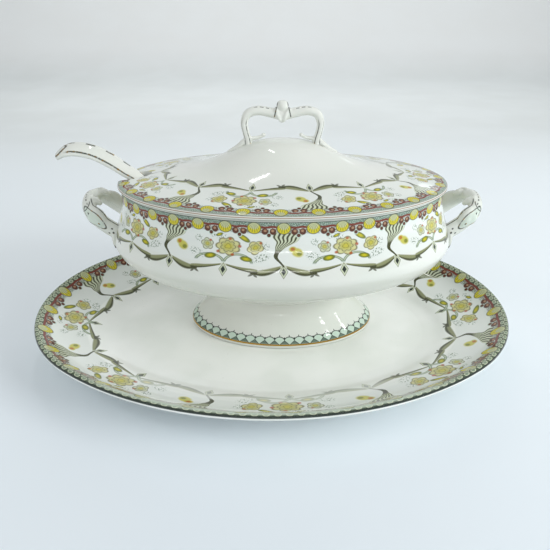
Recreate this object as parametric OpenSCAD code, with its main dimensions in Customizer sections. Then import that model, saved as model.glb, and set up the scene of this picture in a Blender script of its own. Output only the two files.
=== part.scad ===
// Oval soup tureen on its stand: a footed bowl with two loop handles, a domed lid with a
// loop handle and a ladle notch, a ladle resting in the bowl, and an oval dish below.
// +X runs along the length, the ladle leaves at -X, and -Y is the front.
// The origin is the middle of the stand's footprint, on the table.

/* [Stand] */
// Half length of the stand
stand_a = 200; // [180:1:220]
// Half width of the stand
stand_b = 155; // [145:1:165]
// Height of the stand's edge
stand_h = 35.5; // [32:0.5:38]
// Width of the stand's printed border, from its edge to the shoulder
border_w = 46; // [40:1:52]
// Height of the well's floor
well_z = 8.5; // [8:0.5:10]

/* [Tureen] */
// How far the tureen stands from the middle of the stand, along X and Y
tureen_at = [8.7, 14.6]; // [-16:0.1:16]
// Height of the bowl's rim above the table
rim_z = 136; // [132:1:140]
// Half length of the bowl at its rim
rim_a = 131; // [128:1:132]
// Half length of the bowl at its widest
belly_a = 141.5; // [138:0.5:145]
// Width of the bowl and lid as a share of their length
body_ratio = 0.73; // [0.7:0.005:0.76]
// Wall thickness of the bowl along its length
wall = 4.6; // [4:0.1:6]
// Half length of the foot where it stands
foot_a = 82; // [78:1:84]
// Half length of the waist, where foot and bowl meet
waist_a = 59; // [56:1:62]
// Height of the waist
waist_z = 43; // [40:0.5:44]
// Width of the foot as a share of its length
foot_ratio = 0.69; // [0.68:0.005:0.72]

/* [Lid] */
// Half length of the lid's edge
lid_a = 133.5; // [133:0.5:135]
// Rise of the dome above the lid's edge
dome_h = 34.5; // [32:0.5:36]
// Width of the ladle notch
notch_w = 22; // [20:1:26]
// How far the notch runs in from the lid's end
notch_depth = 26; // [24:1:30]

/* [Handles] */
// Half spread of a side handle's two legs
leg_spread = 23; // [20:1:30]
// How far a side handle reaches from the middle of the tureen
handle_reach = 165; // [163:1:170]
// Height of the lid handle's bar
bar_z = 191.5; // [189:0.5:194]

/* [Ladle] */
// Outer radius of the ladle's bowl
ladle_r = 38; // [34:1:40]
// Depth of the ladle's bowl, outside
ladle_depth = 26; // [22:1:28]
// Wall thickness of the ladle's bowl
ladle_wall = 3.2; // [3:0.1:4]
// Angle of the shank above level
shank_angle = 44; // [43:1:48]

/* [Hidden] */
round_fn = 128;
gap = 0.3;
foot_z = well_z + gap;
lid_z = rim_z + gap;
glaze = [0.93, 0.94, 0.91];
print_green = [0.72, 0.78, 0.66];

// ---- curves ----

function mix(a, b, t) = a + (b - a) * t;
function unit(v) = v / norm(v);

// Point at t on a Catmull-Rom span from p1 to p2
function span_point(p0, p1, p2, p3, t) =
    0.5 * (2 * p1 + (p2 - p0) * t + (2 * p0 - 5 * p1 + 4 * p2 - p3) * t * t
           + (3 * p1 - p0 - 3 * p2 + p3) * t * t * t);

// Smooth curve through a list of points, with n steps to a span
function smooth(p, n) =
    let (last = len(p) - 1)
    concat([for (i = [0 : last - 1]) for (j = [0 : n - 1])
                span_point(p[max(i - 1, 0)], p[i], p[i + 1], p[min(i + 2, last)], j / n)],
           [p[last]]);

// Points from angle a0 to a1 on a circle in the section plane
function arc(centre, r, a0, a1, n) =
    [for (i = [0 : n]) let (a = mix(a0, a1, i / n)) centre + r * [cos(a), sin(a)]];

// ---- solids ----

// Turns a section round Z, then narrows it to an oval
module oval_turn(ratio) {
    for (s = [0, 180]) scale([1, ratio, 1]) rotate(s)
        rotate_extrude(angle = 180, $fn = round_fn) children();
}

// Runs a section round an oval of four arcs. The section's x is 0 at the edge, minus inward.
// The arcs' centres make 3-4-5 triangles, so the arcs meet smoothly at every inset.
module oval_run(a, b) {
    end_r = (3 * b - a) / 2;
    end_c = a - end_r;
    side_c = end_c * 4 / 3;
    side_r = end_r + end_c * 5 / 3;
    reach = 3;
    for (s = [-1, 1]) {
        intersection() {
            translate([s * end_c, 0, 0])
                rotate_extrude($fn = round_fn) translate([end_r, 0]) children();
            linear_extrude(2 * stand_h)
                polygon([[s * end_c, 0], [s * end_c * (1 + reach), -side_c * reach],
                         [s * end_c * (1 + reach), side_c * reach]]);
        }
        intersection() {
            translate([0, -s * side_c, 0])
                rotate_extrude($fn = round_fn) translate([side_r, 0]) children();
            linear_extrude(2 * stand_h)
                polygon([[0, -s * side_c], [end_c * (1 + reach), s * side_c * reach],
                         [-end_c * (1 + reach), s * side_c * reach]]);
        }
    }
}

// Solid through a list of rings that all have the same number of points
module loft(rings) {
    sides = len(rings[0]);
    last = len(rings) - 1;
    sheet = [for (i = [0 : last - 1]) for (j = [0 : sides - 1])
                [i * sides + j, i * sides + (j + 1) % sides,
                 (i + 1) * sides + (j + 1) % sides, (i + 1) * sides + j]];
    first_cap = [for (j = [sides - 1 : -1 : 0]) j];
    last_cap = [for (j = [0 : sides - 1]) last * sides + j];
    polyhedron(points = [for (ring = rings) each ring],
               faces = concat(sheet, [first_cap, last_cap]), convexity = 6);
}

// Rod along a path. Each path point is [x, y, z, half width across the plane, half thickness],
// and across is the direction of its width.
module rod(path, across, steps = 5, sides = 12) {
    line = smooth(path, steps);
    last = len(line) - 1;
    place = [for (p = line) [p[0], p[1], p[2]]];
    loft([for (i = [0 : last])
            let (ahead = unit(place[min(i + 1, last)] - place[max(i - 1, 0)]),
                 wide = unit(across - (across * ahead) * ahead),
                 thick = cross(ahead, wide))
            [for (j = [0 : sides - 1]) let (a = 360 * j / sides)
                place[i] + line[i][3] * cos(a) * wide - line[i][4] * sin(a) * thick]]);
}

// ---- stand ----

// Section of the stand: from a rounded lip the border falls steeply, then gently to the shoulder
// and the well
module stand_section() {
    lip_r = 2.6;
    lip = [-lip_r, stand_h - lip_r];
    top = smooth([[-lip_r - 2.6, stand_h - 1.9], [-10, stand_h - 5.7], [-15.5, stand_h - 10.1],
                  [-21, stand_h - 13.1], [-28, stand_h - 15.7], [-border_w + 8, stand_h - 18.7],
                  [-border_w, well_z + 5.5], [-border_w - 9, well_z + 2],
                  [-border_w - 20, well_z]], 4);
    under = smooth([[-border_w - 7, 5.6], [-border_w, 9.6], [-border_w + 8, stand_h - 23.3],
                    [-28, stand_h - 20.3], [-21, stand_h - 18], [-15.5, stand_h - 15.4],
                    [-10, stand_h - 11.3], [-5, stand_h - 7.2]], 4);
    polygon(concat(arc(lip, lip_r, -60, 80, 5), top,
                   [[-border_w - 34, well_z], [-border_w - 34, 3.8],
                    [-border_w - 20, 3.8], [-border_w - 19, 0.4], [-border_w - 18.4, 0],
                    [-border_w - 14.6, 0], [-border_w - 14, 0.4], [-border_w - 13, 3.4]],
                   under));
}

module stand_dish() color(glaze) {
    oval_run(stand_a, stand_b) stand_section();
    floor_in = border_w + 28;
    translate([0, 0, 3.8]) scale([1, (stand_b - floor_in) / (stand_a - floor_in), 1])
        cylinder(h = well_z - 3.8, r = stand_a - floor_in, $fn = round_fn);
}

// ---- tureen ----

// Outer curve of the bowl from its waist to its rim, as [half length, height]
function bowl_outer() =
    smooth([[waist_a, waist_z], [waist_a + 8, waist_z + 3.4], [belly_a - 56, 56],
            [belly_a - 37, 63.6], [belly_a - 20, 70.6], [belly_a - 9, 77], [belly_a - 2.6, 84],
            [belly_a, 91], [belly_a - 2, 99.5], [belly_a - 5.2, 108], [rim_a + 2.2, 117],
            [rim_a + 0.4, 126], [rim_a, rim_z - 1.6]], 3);

// Inner curve of the bowl, from its rim down to the middle of its floor
function bowl_inner() =
    smooth([[rim_a - wall + 0.2, rim_z - 1.6], [rim_a + 0.4 - wall, 126],
            [rim_a + 2 - wall, 117], [belly_a - 5.6 - wall, 108],
            [belly_a - 0.6 - wall, 91], [belly_a - 5 - wall, 82], [belly_a - 16 - wall, 74.6],
            [belly_a - 36 - wall, 67.6], [belly_a - 60 - wall, 60.6], [52, 53],
            [28, 49.8], [0, 49]], 3);

module tureen_bowl() color(glaze) translate([tureen_at[0], tureen_at[1], 0])
    oval_turn(body_ratio)
        polygon(concat([[0, waist_z]], bowl_outer(),
                       [[rim_a - 1.6, rim_z], [rim_a - wall + 1.4, rim_z]], bowl_inner()));

module tureen_foot() color(print_green) translate([tureen_at[0], tureen_at[1], 0]) {
    outside = smooth([[foot_a, foot_z + 3.4], [foot_a - 2, foot_z + 6], [foot_a - 7, foot_z + 10.6],
                      [foot_a - 14, foot_z + 17], [waist_a + 2.6, foot_z + 24],
                      [waist_a, waist_z + gap]], 4);
    inside = smooth([[waist_a - 6.4, waist_z - 3], [waist_a - 3.4, foot_z + 22],
                     [foot_a - 19, foot_z + 14], [foot_a - 11, foot_z + 7],
                     [foot_a - 6, foot_z]], 4);
    oval_turn(foot_ratio)
        polygon(concat([[0, waist_z + gap], [0, waist_z - 3.6]], inside,
                       [[foot_a - 0.8, foot_z], [foot_a, foot_z + 0.8]], outside));
}

// One side handle at the +X end: two legs rise out of the belly to a rounded crest
module side_handle() {
    end = handle_reach;
    near = [[130, leg_spread - 1, 97.5, 6.6, 6], [137.5, leg_spread, 102.4, 6.6, 5.4],
            [146, leg_spread, 108.8, 6.6, 5], [153, leg_spread - 2, 115, 6.6, 5],
            [end - 8, leg_spread - 7, 119.6, 6.2, 5.2],
            [end - 6, leg_spread - 14, 121.6, 6, 5.4], [end - 5.4, 0, 122.4, 6, 6]];
    far = [for (i = [len(near) - 2 : -1 : 0]) [for (k = [0 : 4]) near[i][k] * (k == 1 ? -1 : 1)]];
    rod(concat(near, far), across = [-0.62, 0, 0.78], steps = 3, sides = 12);
}

module handle_right() color(glaze) translate([tureen_at[0], tureen_at[1], 0]) side_handle();

module handle_left() color(glaze) translate([tureen_at[0], tureen_at[1], 0])
    mirror([1, 0, 0]) side_handle();

// ---- lid ----

// Top curve of the lid from its edge to its crown: a flat brim, then an ogee dome
function lid_top() =
    smooth([[lid_a - 0.5, lid_z + 2.8], [lid_a - 4, lid_z + 3.9], [118, lid_z + 5.4],
            [104, lid_z + 7.2], [90, lid_z + 9.4], [75, lid_z + 12.4], [60, lid_z + 16.9],
            [45, lid_z + 23.4], [30, lid_z + 30], [15, lid_z + dome_h - 0.9],
            [0, lid_z + dome_h]], 3);

// Underside of the lid from its crown to its locating flange
function lid_under() =
    smooth([[0, lid_z + dome_h - 4.6], [15, lid_z + dome_h - 5.5], [29, lid_z + 25.4],
            [43, lid_z + 19.2], [58, lid_z + 12.6], [74, lid_z + 8], [90, lid_z + 5],
            [106, lid_z + 2.6], [118, lid_z + 0.6]], 3);

module lid_notch() {
    round_r = notch_w / 2;
    translate([-lid_a + notch_depth - round_r, 0, rim_z - 20]) {
        cylinder(h = 60, r = round_r, $fn = 64);
        translate([-40, -round_r, 0]) cube([40, notch_w, 60]);
    }
}

module lid_dome() color(glaze) translate([tureen_at[0], tureen_at[1], 0])
    difference() {
        oval_turn(body_ratio)
            polygon(concat([[lid_a - 1.2, lid_z], [lid_a, lid_z + 1.4]], lid_top(), lid_under(),
                           [[119.4, lid_z - 6.4], [120.2, lid_z - 7], [122.8, lid_z - 7],
                            [123.8, lid_z - 6], [124.6, lid_z]]));
        lid_notch();
    }

module lid_handle() color(glaze) translate([tureen_at[0], tureen_at[1], 0]) {
    crown = lid_z + dome_h;
    left = [[-27, 0, crown - 8, 5, 3.4], [-27.4, 0, crown - 1, 4, 3],
            [-29.2, 0, crown + 6, 3.8, 2.8], [-30, 0, bar_z - 8, 3.8, 3],
            [-27, 0, bar_z - 1.4, 4, 3.4], [-19, 0, bar_z + 1, 4, 3.6],
            [-9, 0, bar_z - 0.6, 4, 3.8], [0, 0, bar_z - 2.2, 4.8, 4.2]];
    right = [for (i = [len(left) - 2 : -1 : 0])
                [for (k = [0 : 4]) left[i][k] * (k == 0 ? -1 : 1)]];
    rod(concat(left, right), across = [0, 1, 0], steps = 3, sides = 12);
    // bud on top of the bar
    translate([0, 0, bar_z - 1]) rotate_extrude($fn = 48)
        polygon(concat(smooth([[3.2, 0], [3.4, 2], [4.4, 4.2], [4.7, 6.2], [3.8, 8.4],
                               [2, 9.5], [0, 9.8]], 3), [[0, 0]]));
    // a leaf outside each leg runs through it into a curl inside
    for (s = [-1, 1])
        rod([[s * 42, 0, crown - 11.6, 2, 1.4], [s * 36, 0, crown - 7.4, 3, 2],
             [s * 30, 0, crown - 2, 3.2, 2.2], [s * 24, 0, crown + 0.4, 3.2, 2.2],
             [s * 19, 0, crown + 0.2, 3, 2], [s * 15, 0, crown + 1.6, 2.2, 1.5]],
            across = [0, 1, 0], steps = 3, sides = 10);
}

// ---- ladle ----

// Where the ladle's shank passes through the lid's notch, from the middle of the tureen
notch_pass = [-119, 139];
// Middle of the ladle bowl's rim
ladle_rim_z = 78;
ladle_c = [notch_pass[0] + (notch_pass[1] - ladle_rim_z) / tan(shank_angle) + ladle_r - 2,
           ladle_rim_z];

module ladle_bowl() color(glaze)
    translate([tureen_at[0] + ladle_c[0], tureen_at[1], ladle_c[1]])
        rotate_extrude($fn = 96) {
            outside = smooth([[0, -ladle_depth], [ladle_r * 0.42, -ladle_depth * 0.93],
                              [ladle_r * 0.78, -ladle_depth * 0.62], [ladle_r * 0.95, -8],
                              [ladle_r, -0.8]], 4);
            inside = smooth([[ladle_r - ladle_wall, -0.8], [ladle_r * 0.95 - ladle_wall, -8],
                             [ladle_r * 0.78 - ladle_wall, -ladle_depth * 0.62 + 1.4],
                             [ladle_r * 0.4, -ladle_depth * 0.93 + ladle_wall],
                             [0, -ladle_depth + ladle_wall]], 4);
            polygon(concat(outside, [[ladle_r - 0.9, 0], [ladle_r - ladle_wall + 0.9, 0]],
                           inside));
        }

// Where the shank leaves the ladle's bowl, and a point at t on the way to the notch
shank_start = ladle_c + [-ladle_r + 1.6, -6];
function on_shank(t, half_w, half_h) =
    let (p = mix(shank_start, notch_pass, t)) [p[0], 0, p[1], half_w, half_h];

// The handle: a straight shank from the bowl through the notch, then a grip that arches
// over the tureen's end and turns down at its tip
module ladle_handle() color(glaze) translate([tureen_at[0], tureen_at[1], 0]) {
    rod([on_shank(0, 7, 2.6), on_shank(0.12, 6.4, 3.4), on_shank(0.5, 6, 3.9),
         on_shank(0.8, 6.2, 3.9), on_shank(1, 6.6, 3.9), [-128.4, 0, 145.4, 7.2, 3.8],
         [-140, 0, 153.6, 8, 3.7], [-153, 0, 160.2, 8.4, 3.6], [-166, 0, 162.6, 8.6, 3.6],
         [-175, 0, 161, 8, 3.4], [-182, 0, 156.6, 5.6, 2.6]],
        across = [0.1, 0.9, 0.38], steps = 4, sides = 14);
}

stand_dish();
tureen_bowl();
tureen_foot();
handle_left();
handle_right();
lid_dome();
lid_handle();
ladle_bowl();
ladle_handle();
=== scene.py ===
"""Looks of the oval soup tureen on its stand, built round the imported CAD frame.

Shapes are worked out in millimetres in the frame's axes and turned into metres as each mesh is
made. The glaze, the printed borders and the gilding are node materials. They are drawn in the
"print" UV map, whose u runs along an edge and whose v runs in from it, both in millimetres. On
a handle, u runs along it and v goes round it, from -1 to 1.
"""
import math
from functools import reduce

import bmesh
import bpy
import numpy as np
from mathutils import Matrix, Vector


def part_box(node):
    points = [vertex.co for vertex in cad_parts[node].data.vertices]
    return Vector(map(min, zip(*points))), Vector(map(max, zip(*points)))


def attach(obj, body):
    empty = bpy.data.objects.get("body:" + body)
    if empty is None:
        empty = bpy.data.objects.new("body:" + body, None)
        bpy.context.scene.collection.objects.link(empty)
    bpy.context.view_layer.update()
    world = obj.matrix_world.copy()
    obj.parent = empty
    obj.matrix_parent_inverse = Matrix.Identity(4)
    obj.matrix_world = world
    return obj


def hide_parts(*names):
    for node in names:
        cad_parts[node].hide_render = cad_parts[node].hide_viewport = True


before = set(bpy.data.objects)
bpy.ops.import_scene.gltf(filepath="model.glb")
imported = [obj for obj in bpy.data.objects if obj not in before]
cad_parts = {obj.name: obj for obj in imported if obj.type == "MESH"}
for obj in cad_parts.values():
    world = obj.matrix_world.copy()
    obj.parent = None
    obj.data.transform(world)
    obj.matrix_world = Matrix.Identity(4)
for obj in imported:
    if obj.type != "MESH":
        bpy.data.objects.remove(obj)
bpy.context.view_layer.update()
scene = bpy.context.scene

MM = 0.001
TAU = 2 * math.pi
PRINT = "print"
BARE = -50.0                   # v of a surface that has no print
WELL_V, CROWN_V = 200, 120     # v in the middle of the stand and of the lid, past their borders
HALF_ROUND = 16                # half the way round a handle, which makes its v a length


# ---- sizes, from the frame ----

def box_mm(node):
    lo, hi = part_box(node)
    return lo / MM, hi / MM


stand_hi = box_mm("stand_dish")[1]
bowl_lo, bowl_hi = box_mm("tureen_bowl")
foot_lo, foot_hi = box_mm("tureen_foot")
lid_lo, lid_hi = box_mm("lid_dome")
grip_hi = box_mm("handle_right")[1]
knob_hi = box_mm("lid_handle")[1]
ladle_lo, ladle_hi = box_mm("ladle_bowl")

STAND_A, STAND_B, STAND_H = stand_hi.x, stand_hi.y, stand_hi.z
BORDER_W, WELL_Z, UNDER_Z = 46, 8.5, 3.8
MID = Vector(((bowl_lo.x + bowl_hi.x) / 2, (bowl_lo.y + bowl_hi.y) / 2, 0))
BELLY_A = bowl_hi.x - MID.x
BODY_RATIO = (bowl_hi.y - MID.y) / BELLY_A
RIM_A, RIM_Z, WALL = BELLY_A - 10.5, bowl_hi.z, 4.6
WAIST_A, WAIST_Z = 59, bowl_lo.z
FOOT_A, FOOT_Z = foot_hi.x - MID.x, foot_lo.z
FOOT_RATIO = (foot_hi.y - MID.y) / FOOT_A
LID_A, LID_Z, CROWN_Z = lid_hi.x - MID.x, lid_lo.z + 7, lid_hi.z
NOTCH_R, NOTCH_X = 11, -LID_A + 15
LADLE_R, LADLE_X, LADLE_Z = (ladle_hi.x - ladle_lo.x) / 2, (ladle_hi.x + ladle_lo.x) / 2, ladle_hi.z
BAR_Z = knob_hi.z - 8.8


# ---- curves and meshes ----

def smooth(points, steps):
    """Catmull-Rom curve through points of any number of values, with steps to a span."""
    p = np.array(points, float)
    p = np.vstack([p[0], p, p[-1]])
    line = []
    for i in range(1, len(p) - 2):
        a, b, c, d = p[i - 1:i + 3]
        for k in range(steps):
            t = k / steps
            line.append(0.5 * (2 * b + (c - a) * t + (2 * a - 5 * b + 4 * c - d) * t ** 2
                               + (3 * b - a - 3 * c + d) * t ** 3))
    return np.array(line + [p[-2]])


def arc(cx, cz, r, start, end, steps):
    """Points on a circle in a section, from one angle in degrees to another."""
    turns = np.radians(np.linspace(start, end, steps + 1))
    return np.stack([cx + r * np.cos(turns), cz + r * np.sin(turns)], 1)


def run_length(points):
    """Distance along a line of points, at each point."""
    steps = np.linalg.norm(np.diff(points, axis=0), axis=1)
    return np.concatenate([[0], np.cumsum(steps)])


def make_object(name, verts, faces, uvs=None, around=0):
    """Object from points in millimetres. uvs is one (u, v) for each point, and around is the
    length at which u starts again."""
    mesh = bpy.data.meshes.new(name)
    mesh.from_pydata([tuple(v) for v in np.asarray(verts) * MM], [], faces)
    mesh.validate()
    obj = bpy.data.objects.new(name, mesh)
    scene.collection.objects.link(obj)
    if uvs is not None:
        set_print(mesh, np.asarray(uvs, float), around)
    mesh.shade_smooth()
    return obj


def set_print(mesh, uvs, around=0):
    """Writes the print's coordinates, with faces that cross the start of u kept whole."""
    layer = mesh.uv_layers.get(PRINT) or mesh.uv_layers.new(name=PRINT)
    corner = np.zeros(len(mesh.loops), int)
    mesh.loops.foreach_get("vertex_index", corner)
    uv = uvs[corner]
    if around:
        for poly in mesh.polygons:
            u = uv[poly.loop_start:poly.loop_start + poly.loop_total, 0]
            if u.max() - u.min() > around / 2:
                u[u < around / 2] += around
    layer.data.foreach_set("uv", uv.ravel())


def quads_between(a, b, ring):
    """Quads from the ring of points that starts at a to the ring that starts at b."""
    faces = []
    for j in range(ring):
        k = (j + 1) % ring
        faces.append((a + j, b + j, b + k, a + k))
    return faces


def rings_to_faces(count, ring, closed=False):
    """Quads between rings of points, each ring closed on itself."""
    faces = []
    for i in range(count if closed else count - 1):
        faces += quads_between(i * ring, (i + 1) % count * ring, ring)
    return faces


def cap_faces(first, last, rows, ring):
    """Triangles from the point called first to the first ring, and from last to the last one."""
    start = (rows - 1) * ring
    faces = []
    for j in range(ring):
        k = (j + 1) % ring
        faces.append((first, j, k))
        faces.append((last, start + k, start + j))
    return faces


def even_turns(sides):
    return np.arange(sides) * TAU / sides


def turned(section, centre, turn, ratio=1):
    """Points and faces of a solid turned from a section of (radius, height), which starts and
    ends on the axis. It has a column at each angle in turn, and ratio narrows it to an oval."""
    ring = section[1:-1]
    verts = np.stack([centre[0] + ring[:, :1] * np.cos(turn),
                      centre[1] + ring[:, :1] * ratio * np.sin(turn),
                      np.repeat(ring[:, 1:2], len(turn), 1)], 2).reshape(-1, 3)
    faces = rings_to_faces(len(ring), len(turn))
    faces += cap_faces(len(verts), len(verts) + 1, len(ring), len(turn))
    return np.vstack([verts, [[*centre, section[0][1]], [*centre, section[-1][1]]]]), faces


def oval_edge(a, b):
    """Angles round an ellipse, and the length along its edge to each of them."""
    fine = np.linspace(0, TAU, 4001)
    return fine, run_length(np.stack([a * np.cos(fine), b * np.sin(fine)], 1))


def oval_lathe(name, section, v_values, ratio, edge_a, columns=300):
    """An oval turned round the tureen's middle, with columns at equal lengths along its edge and
    v_values as the print's v at each point of the section."""
    fine, length = oval_edge(edge_a, edge_a * ratio)
    u = np.arange(columns) * length[-1] / columns
    verts, faces = turned(section, (MID.x, MID.y), np.interp(u, length, fine), ratio)
    uvs = np.stack([np.tile(u, len(section) - 2), np.repeat(v_values[1:-1], columns)], 1)
    uvs = np.vstack([uvs, [[0, BARE], [0, BARE]]])
    obj = make_object(name, verts, faces, uvs, length[-1])
    face_outward(obj)
    return obj, length[-1]


def face_outward(obj):
    bm = bmesh.new()
    bm.from_mesh(obj.data)
    bmesh.ops.recalc_face_normals(bm, faces=bm.faces)
    bm.to_mesh(obj.data)
    bm.free()


def follow(path, across, steps):
    """A rod's smooth path, with the unit directions ahead and across at each of its points."""
    line = smooth(path, steps)
    ahead = np.gradient(line[:, :3], axis=0)
    ahead /= np.linalg.norm(ahead, axis=1)[:, None]
    across = np.array(across, float)
    wide = across - (ahead @ across)[:, None] * ahead
    wide /= np.linalg.norm(wide, axis=1)[:, None]
    return line, ahead, wide


def rod(path, across, steps=6, sides=20):
    """Points and faces of a rod with flat ends. Each path point is (x, y, z, half width, half
    thickness), and across is the direction of its width."""
    line, ahead, wide = follow(path, across, steps)
    thick = np.cross(ahead, wide)
    turn = even_turns(sides)
    rings = (line[:, None, :3] + line[:, None, 3:4] * wide[:, None] * np.cos(turn)[None, :, None]
             - line[:, None, 4:5] * thick[:, None] * np.sin(turn)[None, :, None])
    faces = rings_to_faces(len(line), sides)
    faces.append(tuple(range(sides))[::-1])
    faces.append(tuple(range((len(line) - 1) * sides, len(line) * sides)))
    return rings.reshape(-1, 3), faces


def lump(centre, radii, axes, rows=10, sides=18):
    """Points and faces of an ellipsoid with the given half sizes along three directions."""
    axes = np.array([np.array(a, float) / np.linalg.norm(a) for a in axes])
    verts, faces = turned(arc(0, 0, 1, 90, -90, rows), (0, 0), even_turns(sides))
    return np.array(centre) + (verts * np.array(radii)) @ axes, faces


def melt(name, shapes, voxel, rounds):
    """One smooth solid from shapes that run into each other, as slip and glaze round them."""
    verts, faces = [], []
    for points, quads in shapes:
        base = sum(len(v) for v in verts)
        verts.append(points)
        faces += [tuple(base + i for i in quad) for quad in quads]
    obj = make_object(name, np.vstack(verts), faces)
    remesh = obj.modifiers.new("melt", "REMESH")
    remesh.mode = "VOXEL"
    remesh.voxel_size = voxel * MM
    soften = obj.modifiers.new("soften", "SMOOTH")
    soften.factor, soften.iterations = 0.5, rounds
    bake_modifiers(obj)
    return obj


def bake_modifiers(obj):
    shape = bpy.data.meshes.new_from_object(obj.evaluated_get(bpy.context.evaluated_depsgraph_get()))
    obj.modifiers.clear()
    obj.data = shape
    shape.shade_smooth()


def points_of(obj):
    co = np.zeros(len(obj.data.vertices) * 3)
    obj.data.vertices.foreach_get("co", co)
    return co.reshape(-1, 3) / MM


def rod_print(obj, path, across, steps=10):
    """Print coordinates on a rod: u is the length along its path, and v is 0 on the side that
    faces up from the width, plus to the across side, up to 1 at the back."""
    line, ahead, wide = follow(path, across, steps)
    along = run_length(line[:, :3])
    up = np.cross(wide, ahead)
    uvs = []
    for p in points_of(obj):
        off = line[:, :3] - p
        i = int(np.argmin((off ** 2).sum(1)))
        away = -off[i]
        side = math.atan2(away @ wide[i], away @ up[i])
        uvs.append((along[i] + away @ ahead[i], side / math.pi))
    set_print(obj.data, np.array(uvs))
    return along[-1]


# ---- pieces ----

def mirror(path, axis):
    """The path followed by its mirror image, without the middle point twice."""
    back = [list(p) for p in path[-2::-1]]
    for p in back:
        p[axis] = -p[axis]
    return [list(p) for p in path] + back


def moved(path):
    """A path measured from the tureen's middle, in the frame."""
    return [[p[0] + MID.x, p[1] + MID.y] + list(p[2:]) for p in path]


def stand_oval():
    """The stand's outline of four arcs: radius and centre of an end arc and of a side arc, the
    angle of half an end arc, and half the length of the edge."""
    end_r = (3 * STAND_B - STAND_A) / 2
    end_c = STAND_A - end_r
    side_c = end_c * 4 / 3
    side_r = end_r + end_c * 5 / 3
    bend = math.atan2(side_c, end_c)
    return end_r, end_c, side_r, side_c, bend, 2 * (end_r * bend + side_r * (math.pi / 2 - bend))


def oval_point(length, inset):
    """Place on the stand's outline, by length along its edge from +X to the back."""
    end_r, end_c, side_r, side_c, bend, half = stand_oval()
    quarter = end_r * bend
    flip = 1 if length < half else -1
    length = length % half
    if length < quarter:
        cx, cy, r, turn = end_c, 0, end_r, length / end_r
    elif length < half - quarter:
        cx, cy, r, turn = 0, -side_c, side_r, bend + (length - quarter) / side_r
    else:
        cx, cy, r, turn = -end_c, 0, end_r, math.pi - (half - length) / end_r
    x = cx + (r - inset) * math.cos(turn)
    y = cy + (r - inset) * math.sin(turn)
    return x * flip, y * flip


def build_stand(columns=480):
    """Section as (inset, height): up over the lip, down the border, across the well, and back
    under the floor and the foot ring."""
    lip_r = 2.6
    w, h = BORDER_W, STAND_H
    lip = arc(lip_r, h - lip_r, lip_r, 180, 100, 6)
    under_lip = arc(lip_r, h - lip_r, lip_r, 240, 180, 4)[:-1]
    top = smooth([[lip_r + 2.6, h - 1.9], [10, h - 5.7], [15.5, h - 10.1], [21, h - 13.1],
                  [28, h - 15.7], [w - 8, h - 18.7], [w, WELL_Z + 5.5], [w + 9, WELL_Z + 2],
                  [w + 20, WELL_Z]], 5)
    under = smooth([[w + 7, 5.6], [w, 9.6], [w - 8, h - 23.3], [28, h - 20.3], [21, h - 18],
                    [15.5, h - 15.4], [10, h - 11.3], [5, h - 7.2]], 4)
    ring = np.array([[w + 34, UNDER_Z], [w + 22, UNDER_Z], [w + 20, 3.4], [w + 19.2, 1.2],
                     [w + 18.2, 0.2], [w + 17.4, 0], [w + 15.4, 0], [w + 14.6, 0.2],
                     [w + 13.8, 1.2], [w + 12.4, 3.3]])
    section = np.vstack([under_lip, lip, top, [[w + 34, WELL_Z]]])
    depth = run_length(section) - run_length(section)[len(under_lip)]
    below = np.vstack([ring, under])
    verts, uvs = [], []
    total = 2 * stand_oval()[-1]
    along = np.arange(columns) * total / columns
    for (inset, z), v in zip(np.vstack([section, below]), list(depth) + [BARE] * len(below)):
        for u in along:
            verts.append((*oval_point(u, inset), z))
            uvs.append((u, v))
    rows = len(section) + len(below)
    inner = [len(section) - 1, len(section)]
    faces = [f for i, f in enumerate(rings_to_faces(rows, columns, closed=True))
             if i // columns != inner[0]]
    for row, z in zip(inner, (WELL_Z, UNDER_Z)):
        rim = np.array(verts[row * columns:(row + 1) * columns])
        start = row * columns
        for share in (0.8, 0.6, 0.4, 0.2):
            base = len(verts)
            verts += [tuple(p) for p in rim * (share, share, 1)]
            uvs += [(0, WELL_V)] * columns
            faces += quads_between(start, base, columns)
            start = base
        verts.append((0, 0, z))
        uvs.append((0, WELL_V))
        for j in range(columns):
            faces.append((start + j, len(verts) - 1, start + (j + 1) % columns))
    obj = make_object("stand_glazed", verts, faces, uvs, total)
    face_outward(obj)
    return obj, total


def build_bowl():
    outer = smooth([[WAIST_A, WAIST_Z], [WAIST_A + 8, WAIST_Z + 3.4], [BELLY_A - 56, 56],
                    [BELLY_A - 37, 63.6], [BELLY_A - 20, 70.6], [BELLY_A - 9, 77],
                    [BELLY_A - 2.6, 84], [BELLY_A, 91], [BELLY_A - 2, 99.5], [BELLY_A - 5.2, 108],
                    [RIM_A + 2.2, 117], [RIM_A + 0.4, 126], [RIM_A, RIM_Z - 1.6]], 5)
    inner = smooth([[RIM_A - WALL + 0.2, RIM_Z - 1.6], [RIM_A + 0.4 - WALL, 126],
                    [RIM_A + 2 - WALL, 117], [BELLY_A - 5.6 - WALL, 108],
                    [BELLY_A - 0.6 - WALL, 91], [BELLY_A - 5 - WALL, 82],
                    [BELLY_A - 16 - WALL, 74.6], [BELLY_A - 36 - WALL, 67.6],
                    [BELLY_A - 60 - WALL, 60.6], [52, 53], [28, 49.8], [0, 49]], 4)
    lip = arc(RIM_A - WALL / 2, RIM_Z - 1.6, WALL / 2, 12, 168, 9)
    lip[:, 1] = RIM_Z - 1.6 + (lip[:, 1] - RIM_Z + 1.6) * 1.6 / (WALL / 2)
    section = np.vstack([[[0, WAIST_Z]], outer, lip, inner])
    top = 1 + len(outer) + 2
    depth = run_length(section)
    v = depth[top] - depth
    v[top + 4:] = BARE
    return oval_lathe("bowl_glazed", section, v, BODY_RATIO, RIM_A)


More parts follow.
